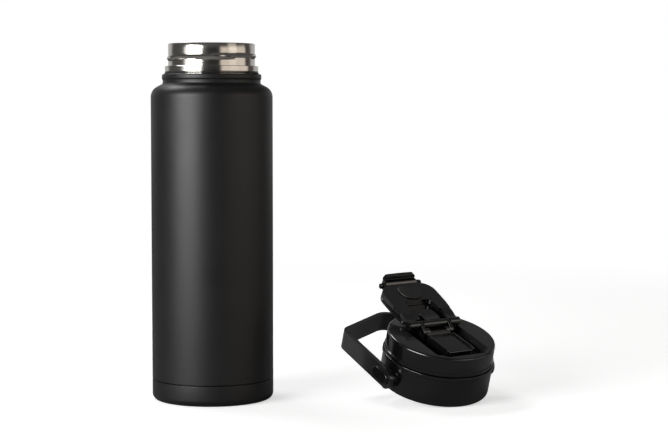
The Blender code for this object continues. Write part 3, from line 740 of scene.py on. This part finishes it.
def hinge_bracket(lid):
    """Two ears in the cap's recess that hold the mouthpiece's pin and the cover's pins."""
    made = block("hinge_bracket", (-EAR_OUT, EAR_OUT), (9.3, 13.2),
                 (CHANNEL_FLOOR_Z + GAP, 32.9), "black_plastic", lid)
    outline = [(2.5, CHANNEL_FLOOR_Z + GAP), (13.2, CHANNEL_FLOOR_Z + GAP)]
    outline += arc(COVER_AXIS, EAR_COVER_R, -15, 125, 8)
    outline += arc(MOUTH_AXIS, EAR_MOUTH_R, 140, 190, 4)
    for side, low, high in both_sides((EAR_IN, EAR_OUT)):
        add(made, prism("ear_" + side, outline, low, high, "black_plastic", lid, "x"))
    for name, axis in (("cover", COVER_AXIS), ("mouth", MOUTH_AXIS)):
        for side, low, high in both_sides((EAR_IN - 1, EAR_OUT + 1)):
            hole = "ear_hole_" + name + "_" + side
            cut(made, rod(hole, axis, PIN_HOLE_R, low, high, "steel", lid))
    rod("mouthpiece_pin", MOUTH_AXIS, PIN_R, -EAR_OUT + 0.2, EAR_OUT - 0.2, "black_steel", lid)
    for side, low, high in both_sides((5.0, ARM_OUT + 0.2)):
        rod("cover_pin_" + side, COVER_AXIS, PIN_R, low, high, "black_steel", lid)


# ---------------------------------------------------------------- moving pieces

def mouthpiece(lid):
    """The spout, lying in the recess; its bore stands over the seat once it is flipped up."""
    frame = empty("mouthpiece_axis", lid, (0, *MOUTH_AXIS))
    y0, z0 = MOUTH_AXIS
    heel = z0 - MOUTH_LOW_Z
    tip, low = MOUTH_TIP_Y - y0, MOUTH_LOW_Z - z0
    top, rim_top = MOUTH_TOP_Z - z0, MOUTH_RIM_Z - z0
    outline = rounded([(tip, low, 1.5), (tip, top, 1.0), (-4.2, top, 0), (-3.0, 0.6, 0)])
    outline += arc((0, 0), MOUTH_BARREL_R, 165, 0, 8) + [(MOUTH_BARREL_R, -0.5)]
    outline += arc((0, 0), heel, -5, -90, 6)
    outline.reverse()
    made = prism("mouthpiece", outline, -MOUTH_HALF, MOUTH_HALF, "black_plastic", frame, "x")
    side_view = rounded([(tip + 0.5, low + 0.8, 1.0), (tip + 0.5, rim_top, 1.2),
                         (-5.6, rim_top, 1.0), (-5.6, low + 0.8, 0.8)])
    for side, inner, outer in both_sides((MOUTH_RIM_OUT - MOUTH_RIM, MOUTH_RIM_OUT)):
        add(made, prism("rim_" + side, side_view, inner, outer, "black_plastic", frame, "x"))
    cut(made, block("bore", (-4, 4), (tip - 1, heel + 1), (low + 1.6, low + 4.0), "steel", frame))
    cut(made, block("saddle", (-7.4, 7.4), (-4.5, 4.0), (1.3, 5.0), "steel", frame))
    cut(made, rod("mouth_hole", (0, 0), PIN_HOLE_R, -12, 12, "steel", frame))


def cover(lid):
    """The flip cover, lying open; it shuts over the cap."""
    frame = empty("cover_axis", lid, (0, *COVER_AXIS), (COVER_SLOPE, 0, 0))
    fork(frame)
    outer_skin(frame)
    seal_frame = empty("seal_frame", frame, (0, SEAL_S, 0))
    seal = rounded([(SEAL_R, SEAL_TOP_N, 0.7), (SEAL_R, COVER_FACE_N + GAP, 0),
                    (0, COVER_FACE_N + GAP, 0), (0, SEAL_TOP_N, 0)])
    lathe("cover_seal", seal, "silicone", seal_frame, 32)
    tab(frame)
    latch(frame)


def fork(frame):
    """The cover's frame: two arms that bend down to the hinge, a window between, and a head."""
    outline = rounded([
        (13.0, ARM_BEND_S, 0), (ARM_OUT + 0.3, ARM_BEND_S, 0),
        (COVER_HALF, COVER_WIDE_S, COVER_WIDE_R), (COVER_HALF, COVER_END_S, COVER_END_R),
        (-COVER_HALF, COVER_END_S, COVER_END_R), (-COVER_HALF, COVER_WIDE_S, COVER_WIDE_R),
        (-ARM_OUT - 0.3, ARM_BEND_S, 0), (-13.0, ARM_BEND_S, 0), (-WINDOW_HALF, WINDOW_S, 3),
        (WINDOW_HALF, WINDOW_S, 3),
    ])
    made = prism("cover_frame", outline, ARM_LOW_N, COVER_FACE_N, "black_plastic", frame)
    arm = [(ARM_BEND_S + 0.2, ARM_LOW_N + 0.1), (ARM_BEND_S + 0.2, COVER_FACE_N - 0.1)]
    arm += [(9.0, COVER_FACE_N - 0.5), (5.0, 1.4)] + arc((0, 0), 2.6, 90, 250, 8)
    arm += [(5.0, -2.2), (9.0, ARM_LOW_N - 0.6)]
    for side, low, high in both_sides((ARM_IN + 0.1, ARM_OUT)):
        add(made, prism("arm_" + side, arm, low, high, "black_plastic", frame, "x"))
    head = rounded([(COVER_HALF, WINDOW_S, 3), (COVER_HALF, COVER_END_S, COVER_END_R),
                    (-COVER_HALF, COVER_END_S, COVER_END_R), (-COVER_HALF, WINDOW_S, 3)])
    add(made, prism("head", head, HEAD_LOW_N, ARM_LOW_N + 1, "black_plastic", frame))
    s, n = LATCH_AXIS
    ear = [(s - 9.0, n + 0.9), (s - 9.0, n - LATCH_EAR_R)]
    ear += arc(LATCH_AXIS, LATCH_EAR_R, -90, 120, 8) + [(s - 3.5, n + 0.9)]
    for side, low, high in both_sides((ARM_IN - 0.1, ARM_OUT + 0.2)):
        add(made, rod("knuckle_" + side, (0, 0), KNUCKLE_R, low, high, "black_plastic", frame))
    for side, low, high in both_sides((LATCH_HALF + 0.4, LATCH_HALF + 2.4)):
        add(made, prism("latch_ear_" + side, ear, low, high, "black_plastic", frame, "x"))
    for side, low, high in both_sides((ARM_IN - 1, ARM_OUT + 1)):
        cut(made, rod("arm_hole_" + side, (0, 0), PIN_HOLE_R, low, high, "steel", frame))
    cut(made, rod("latch_pin_hole", LATCH_AXIS, LATCH_PIN_R + GAP, -20, 20, "steel", frame))


def outer_skin(frame):
    """The plate that closes the cover's outer side, clear of the hinge."""
    outline = rounded([
        (ARM_OUT, SHELL_S, 2), (COVER_HALF, COVER_WIDE_S, COVER_WIDE_R),
        (COVER_HALF, COVER_END_S, COVER_END_R), (-COVER_HALF, COVER_END_S, COVER_END_R),
        (-COVER_HALF, COVER_WIDE_S, COVER_WIDE_R), (-ARM_OUT, SHELL_S, 2),
    ])
    prism("cover_shell", outline, SHELL_LOW_N, HEAD_LOW_N - GAP, "black_plastic", frame)


def tab(cover_frame):
    """The round-ended tab in the cover's recess, on the hinge's middle barrel."""
    outline = rounded([(TAB_HALF, 0, 0), (TAB_HALF, TAB_S, TAB_HALF - 0.05),
                       (-TAB_HALF, TAB_S, TAB_HALF - 0.05), (-TAB_HALF, 0, 0)])
    key = "black_plastic"
    low, high = TAB_TOP_N - 1.6, TAB_TOP_N
    made = prism("cover_tab", outline, low, high, key, cover_frame)
    add(made, rod("barrel", (0, 0), BARREL_R, -10.3, 10.3, key, cover_frame))
    web = (HEAD_LOW_N, low + 0.1)
    add(made, block("web", (-5, 5), (SHELL_S + 0.5, 13.5), web, key, cover_frame))
    for side, low, high in both_sides((4.6, 11.0)):
        cut(made, rod("barrel_hole_" + side, (0, 0), PIN_HOLE_R, low, high, key, cover_frame))


def latch(cover_frame):
    """The clip at the cover's free end, whose lip drops over the cap's front when it is shut."""
    ends, key = LATCH_HALF + 2.7, "black_steel"
    pin = rod("latch_pin", LATCH_AXIS, LATCH_PIN_R, -ends, ends, key, cover_frame)
    for side, low, high in both_sides((ends, ends + 1.6)):
        head = rod("pin_head_" + side, LATCH_AXIS, LATCH_PIN_HEAD_R, low - 0.1, high, key,
                   cover_frame)
        add(pin, head)
    frame = empty("latch_axis", cover_frame, (0, *LATCH_AXIS))
    lip_low, top = LATCH_LIP_LOW, LATCH_TOP
    hub = [(a, b, 0) for a, b in arc((0, 0), LATCH_HUB_R, 140, 300, 7)]
    profile = rounded(hub + [
        (4.7, -1.2, 1.2), (4.7, 2.0, 0.8), (5.6, lip_low, 0.6), (5.6, top + 0.6, 1.4),
        (1.9, top + 0.6, 1.4), (1.9, lip_low, 0.8), (3.3, lip_low - 0.3, 0.4), (3.3, 2.9, 0.4),
        (-0.4, 2.9, 0.9),
    ])
    made = prism("latch_clip", profile, -LATCH_HALF, LATCH_HALF, "black_plastic", frame, "x")
    half = LATCH_HALF + 1
    around = rounded([(half, -4, 0), (half, 1.6, 0.8), (LATCH_HALF - 1.6, top - 0.3, 2.0),
                      (0, top + 0.3, 9), (1.6 - LATCH_HALF, top - 0.3, 2.0), (-half, 1.6, 0.8),
                      (-half, -4, 0)])
    trim = prism("clip_outline", around, -5, 8, "steel", frame, "y")
    combine(made, trim, "INTERSECT")
    cut(made, rod("clip_hole", (0, 0), LATCH_PIN_R + GAP, -18, 18, "steel", frame))


def strap_outline():
    """The strap seen along the lid's axis: two arms and a gabled bar, STRAP_T thick."""
    x, y = STRAP_CORNER
    half = STRAP_T / 2
    lean = math.atan2(STRAP_APEX_Y - y, x)
    square = half * math.tan((math.pi / 2 - lean) / 2)
    peak = half / math.cos(lean)
    outer = [(STRAP_X + half, 0, 0), (x + half, y + square, 9), (0, STRAP_APEX_Y + peak, 12)]
    inner = [(STRAP_X - half, 0, 0), (x - half, y - square, 6), (0, STRAP_APEX_Y - peak, 9)]
    left_out = [(-a, b, r) for a, b, r in reversed(outer[:2])]
    left_in = [(-a, b, r) for a, b, r in inner[:2]]
    return rounded(outer + left_out + left_in + inner[::-1], 18)


def handle(lid):
    """The strap handle on its two pins, with a cap over each pin."""
    y0, z0 = HANDLE_AXIS
    frame = empty("handle_axis", lid, (0, y0, z0), (HANDLE_LIFT, 0, 0))
    key, wide = "black_plastic", STRAP_W / 2
    made = prism("handle_strap", strap_outline(), -wide, wide, key, frame)
    inside, outside = STRAP_X - STRAP_T / 2, STRAP_X + STRAP_T / 2
    for side, low, high in both_sides((inside, outside)):
        add(made, rod("eye_" + side, (0, 0), EYE_R, low, high, key, frame))
    for side, low, high in both_sides((inside - 1, outside - 1.1)):
        cut(made, rod("eye_hole_" + side, (0, 0), PIVOT_R + GAP, low, high, "steel", frame))
    for side, low, high in both_sides((outside + GAP, outside + 1.5)):
        button = stadium((BUTTON_SHIFT, 0), BUTTON_LENGTH, BUTTON_WIDTH)
        prism("handle_pivot_cap_" + side, button, low, high, key, frame, "x")


def bake(name, thing):
    """The piece as a plain mesh in the row's frame, with its cuts and softened edges applied."""
    if name in EDGES:
        soften(thing, EDGES[name])
    bpy.context.view_layer.update()
    graph = bpy.context.evaluated_depsgraph_get()
    mesh = bpy.data.meshes.new_from_object(thing.evaluated_get(graph))
    mesh.transform(thing.matrix_world)
    made = bpy.data.objects.new("shown_" + name, mesh)
    bpy.context.scene.collection.objects.link(made)
    return made


def build():
    bottle()
    lid, height = lid_frame()
    skirt(lid)
    inside_the_skirt(lid, height)
    cap(lid)
    hinge_bracket(lid)
    mouthpiece(lid)
    cover(lid)
    handle(lid)


def hand_over(frame):
    """Swaps every coarse solid for its fine piece, and clears the helpers away."""
    record = frame["record"]
    for body, nodes in record["behaviour"]["bodies"].items():
        for name in nodes:
            piece = bake(name, MADE[name])
            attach(piece, body)
            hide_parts(name)
    for thing in list(MADE.values()) + FRAMES:
        bpy.data.objects.remove(thing, do_unlink=True)


# ---------------------------------------------------------------- studio

def paper():
    """White paper that glows enough to stay white, and melts into the backdrop far off."""
    made = bpy.data.materials.new("paper")
    made.use_nodes = True
    nodes = Nodes(made.node_tree)
    shader = nodes.tree.nodes["Principled BSDF"]
    values = {"Base Color": (PAPER_GREY, PAPER_GREY, PAPER_GREY, 1.0), "Roughness": 0.9,
              "Specular IOR Level": 0.0, "Emission Color": WHITE, "Emission Strength": PAPER_GLOW}
    for socket, value in values.items():
        shader.inputs[socket].default_value = value
    far = nodes.node("ShaderNodeVectorMath", operation="LENGTH")
    nodes.link(nodes.node("ShaderNodeTexCoord").outputs["Object"], far.inputs[0])
    near, away = PAPER_FADE
    fade = nodes.node("ShaderNodeMapRange", {"From Min": near, "From Max": away},
                      interpolation_type="SMOOTHSTEP")
    nodes.link(far.outputs["Value"], fade.inputs["Value"])
    white = nodes.node("ShaderNodeEmission")
    seen = nodes.blend(fade.outputs["Result"], shader.outputs["BSDF"], white.outputs["Emission"])
    dim = nodes.node("ShaderNodeBsdfDiffuse", {"Color": (PAPER_DIM, PAPER_DIM, PAPER_DIM, 1.0)})
    surface = nodes.for_camera(dim.outputs["BSDF"], seen)
    nodes.link(surface, nodes.tree.nodes["Material Output"].inputs["Surface"])
    return made


def floor():
    """The paper that everything stands on."""
    made = bmesh.new()
    bmesh.ops.create_grid(made, x_segments=1, y_segments=1, size=FLOOR_HALF)
    mesh = bpy.data.meshes.new("floor")
    made.to_mesh(mesh)
    made.free()
    mesh.materials.append(paper())
    thing = bpy.data.objects.new("floor", mesh)
    bpy.context.scene.collection.objects.link(thing)


def area(name, place, target, size, power, colour=(1.0, 1.0, 1.0)):
    """A rectangular lamp at a place, facing a target."""
    light = bpy.data.lights.new(name, "AREA")
    light.shape = "RECTANGLE"
    light.size, light.size_y = size
    light.energy = power
    light.color = colour
    thing = bpy.data.objects.new(name, light)
    thing.location = place
    thing.rotation_euler = (Vector(target) - Vector(place)).to_track_quat("-Z", "Y").to_euler()
    bpy.context.scene.collection.objects.link(thing)


def room_brightness(nodes, direction):
    """The room's walls as reflections see them, by azimuth."""
    turn = nodes.node("ShaderNodeMath", operation="ARCTAN2")
    nodes.link(direction.outputs["X"], turn.inputs[0])
    nodes.link(direction.outputs["Y"], turn.inputs[1])
    fraction = nodes.node("ShaderNodeMapRange", {"From Min": -math.pi, "From Max": math.pi})
    nodes.link(turn.outputs["Value"], fraction.inputs["Value"])
    ramp = nodes.node("ShaderNodeValToRGB")
    stops = ramp.color_ramp.elements
    stops[0].color = (*ROOM[0][1], 1.0)
    stops[1].color = (*ROOM[-1][1], 1.0)
    for angle, value in ROOM[1:-1]:
        stops.new((angle + 180) / 360).color = (*value, 1.0)
    nodes.link(fraction.outputs["Result"], ramp.inputs["Fac"])
    room = nodes.node("ShaderNodeBackground", {"Strength": 1.0})
    nodes.link(ramp.outputs["Color"], room.inputs["Color"])
    return room.outputs["Background"]


def surroundings():
    """A white studio seen by the camera; in reflections the room is dark towards the viewer."""
    world = bpy.data.worlds.new("studio")
    bpy.context.scene.world = world
    world.use_nodes = True
    nodes = Nodes(world.node_tree)
    nodes.tree.nodes.clear()
    direction = nodes.node("ShaderNodeSeparateXYZ")
    nodes.link(nodes.node("ShaderNodeTexCoord").outputs["Generated"], direction.inputs["Vector"])
    room = room_brightness(nodes, direction)
    ceiling = nodes.node("ShaderNodeBackground", {"Color": WHITE, "Strength": OVERHEAD})
    low, high = CEILING_FADE
    lift = nodes.node("ShaderNodeMapRange", {"From Min": low, "From Max": high},
                      interpolation_type="SMOOTHSTEP")
    nodes.link(direction.outputs["Z"], lift.inputs["Value"])
    reflected = nodes.blend(lift.outputs["Result"], room, ceiling.outputs["Background"])
    white = nodes.node("ShaderNodeBackground", {"Color": WHITE, "Strength": 1.0})
    surface = nodes.for_camera(reflected, white.outputs["Background"])
    nodes.link(surface, nodes.node("ShaderNodeOutputWorld").inputs["Surface"])


def lights():
    area("key", (-1.27, -1.35, 0.60), (0.0, 0.0, 0.12), (1.35, 0.75), 34.0)
    area("fill", (1.7, -0.9, 0.8), (0.1, 0.0, 0.12), (0.8, 1.0), 1.5, (1.0, 0.93, 0.84))
    area("top", (-0.55, 0.55, 1.2), (0.12, 0.0, 0.0), (0.8, 0.35), 6.0)


def camera():
    """A long lens near the height of the bottle's shoulder, looking slightly down."""
    data = bpy.data.cameras.new("camera")
    data.lens = LENS
    data.sensor_width = 36.0
    data.clip_start, data.clip_end = 0.05, 50.0
    thing = bpy.data.objects.new("camera", data)
    thing.location = CAMERA_PLACE
    thing.rotation_euler = (math.radians(90 - CAMERA_DIP), 0.0, 0.0)
    bpy.context.scene.collection.objects.link(thing)
    bpy.context.scene.camera = thing


def main():
    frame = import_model()
    powder_coat()
    moulded_plastic()
    brushed_steel()
    blackened_steel()
    silicone()
    frosted_plastic()
    build()
    hand_over(frame)
    floor()
    surroundings()
    lights()
    camera()
    bpy.context.scene.view_settings.view_transform = "Standard"


main()
